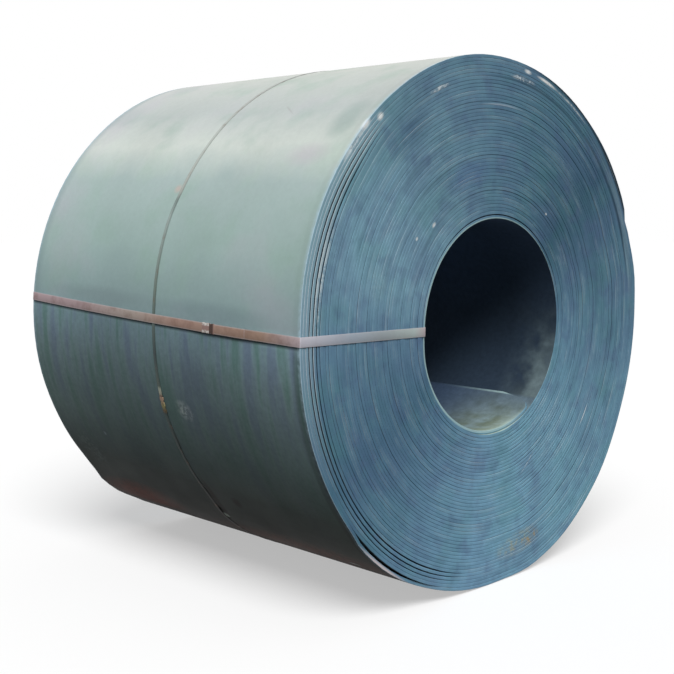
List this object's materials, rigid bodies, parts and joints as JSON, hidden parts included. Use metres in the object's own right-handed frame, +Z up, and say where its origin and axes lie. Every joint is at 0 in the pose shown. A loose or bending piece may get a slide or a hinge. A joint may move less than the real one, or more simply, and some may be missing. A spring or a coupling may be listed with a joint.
{
  "type": "steel coil",
  "caption": "Coil of heavy hot-rolled steel strip lying on its barrel, open eye, bound by one strap through the eye and one round the girth.",
  "frame": {"origin": "on the floor, straight under the middle of the coil", "axes": "+X along the coil's axis, out of the end that has the joint of the eye strap nearer to it; +Z up; the eye strap's outer run is on the -Y side"},
  "size_m": [1.5524, 1.9307, 1.9221],
  "materials": {
    "mill_scale_steel": "hot-rolled strip with blue-grey mill scale, semi-matt, worn bright at the edges",
    "rusted_strap": "bare steel strapping with a film of pinkish-brown rust",
    "dark_strap": "dark steel strapping, matt",
    "seal_steel": "crimped steel seal, worn pale with yellow-brown rust"
  },
  "bodies": {
    "root": {"coil": "mill_scale_steel", "eye_strap": "rusted_strap", "eye_strap_seal": "seal_steel", "girth_strap": "dark_strap", "girth_strap_seal": "seal_steel"}
  },
  "joints": []
}
